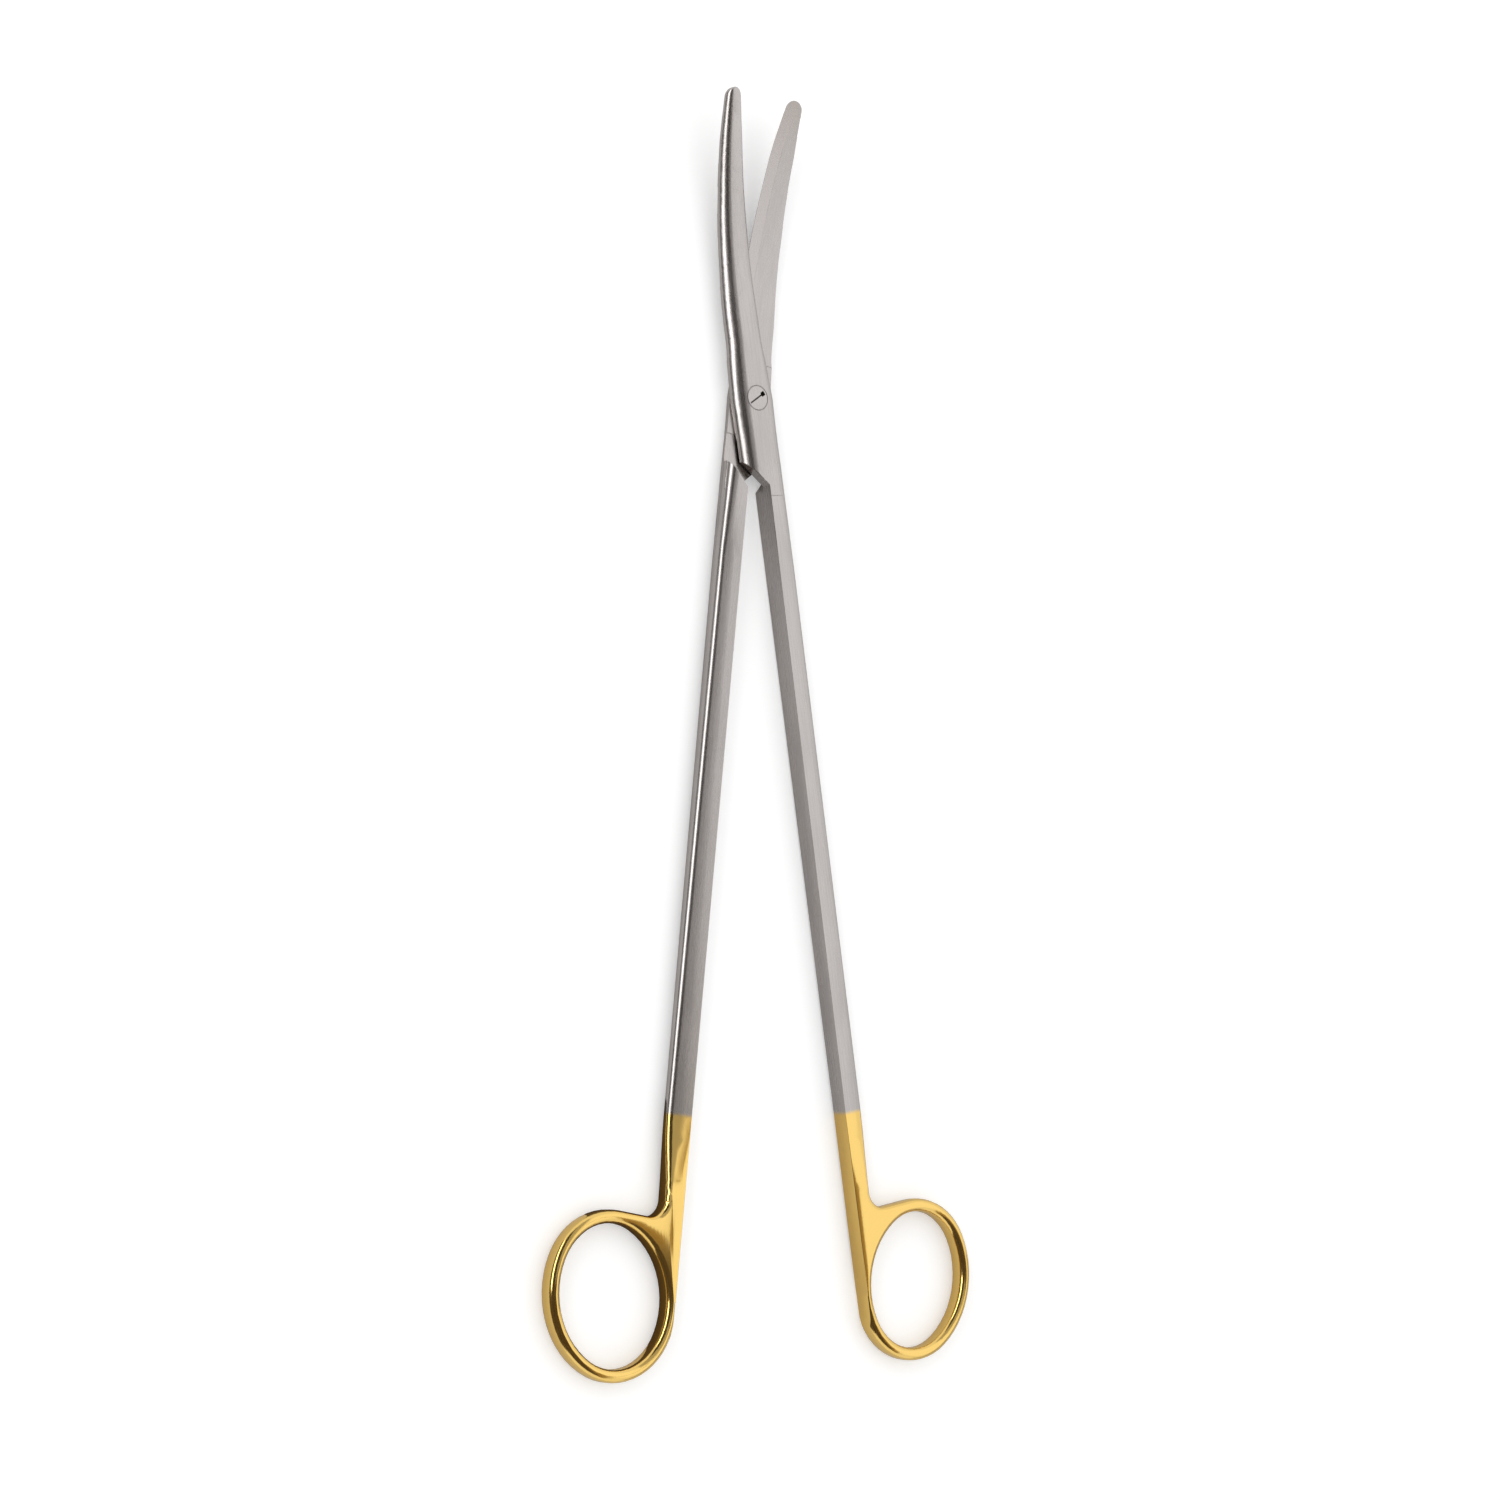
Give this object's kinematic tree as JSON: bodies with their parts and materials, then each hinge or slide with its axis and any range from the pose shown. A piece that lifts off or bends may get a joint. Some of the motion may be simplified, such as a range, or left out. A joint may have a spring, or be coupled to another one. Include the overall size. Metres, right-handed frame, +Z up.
{
  "type": "surgical scissors",
  "caption": "Long curved dissecting scissors: two forged steel halves on a flush slotted pivot screw, with hard-metal cutting strips and gold finger rings.",
  "frame": {"origin": "on the pivot axis, at the flat underside of the hinge", "axes": "+Y runs along the scissors towards the tips, +Z is up and points out of the screw head, +X is to the right seen from the screw side"},
  "size_m": [0.1114, 0.2736, 0.0113],
  "materials": {
    "satin_steel": "satin ground stainless steel; the finger rings and the shank ends beside them are polished gold plate",
    "hard_metal": "ground hard metal",
    "screw_steel": "satin, ground flush with the hinge"
  },
  "bodies": {
    "back": {"back_half": "satin_steel", "back_blade_insert": "hard_metal", "pivot_screw": "screw_steel"},
    "front": {"front_half": "satin_steel", "front_blade_insert": "hard_metal"}
  },
  "joints": [
    {"name": "pivot", "type": "hinge", "parent": "back", "child": "front", "pos_m": [0, 0, 0], "axis": [0, 0, 1], "range_deg": [-15, 60]}
  ]
}
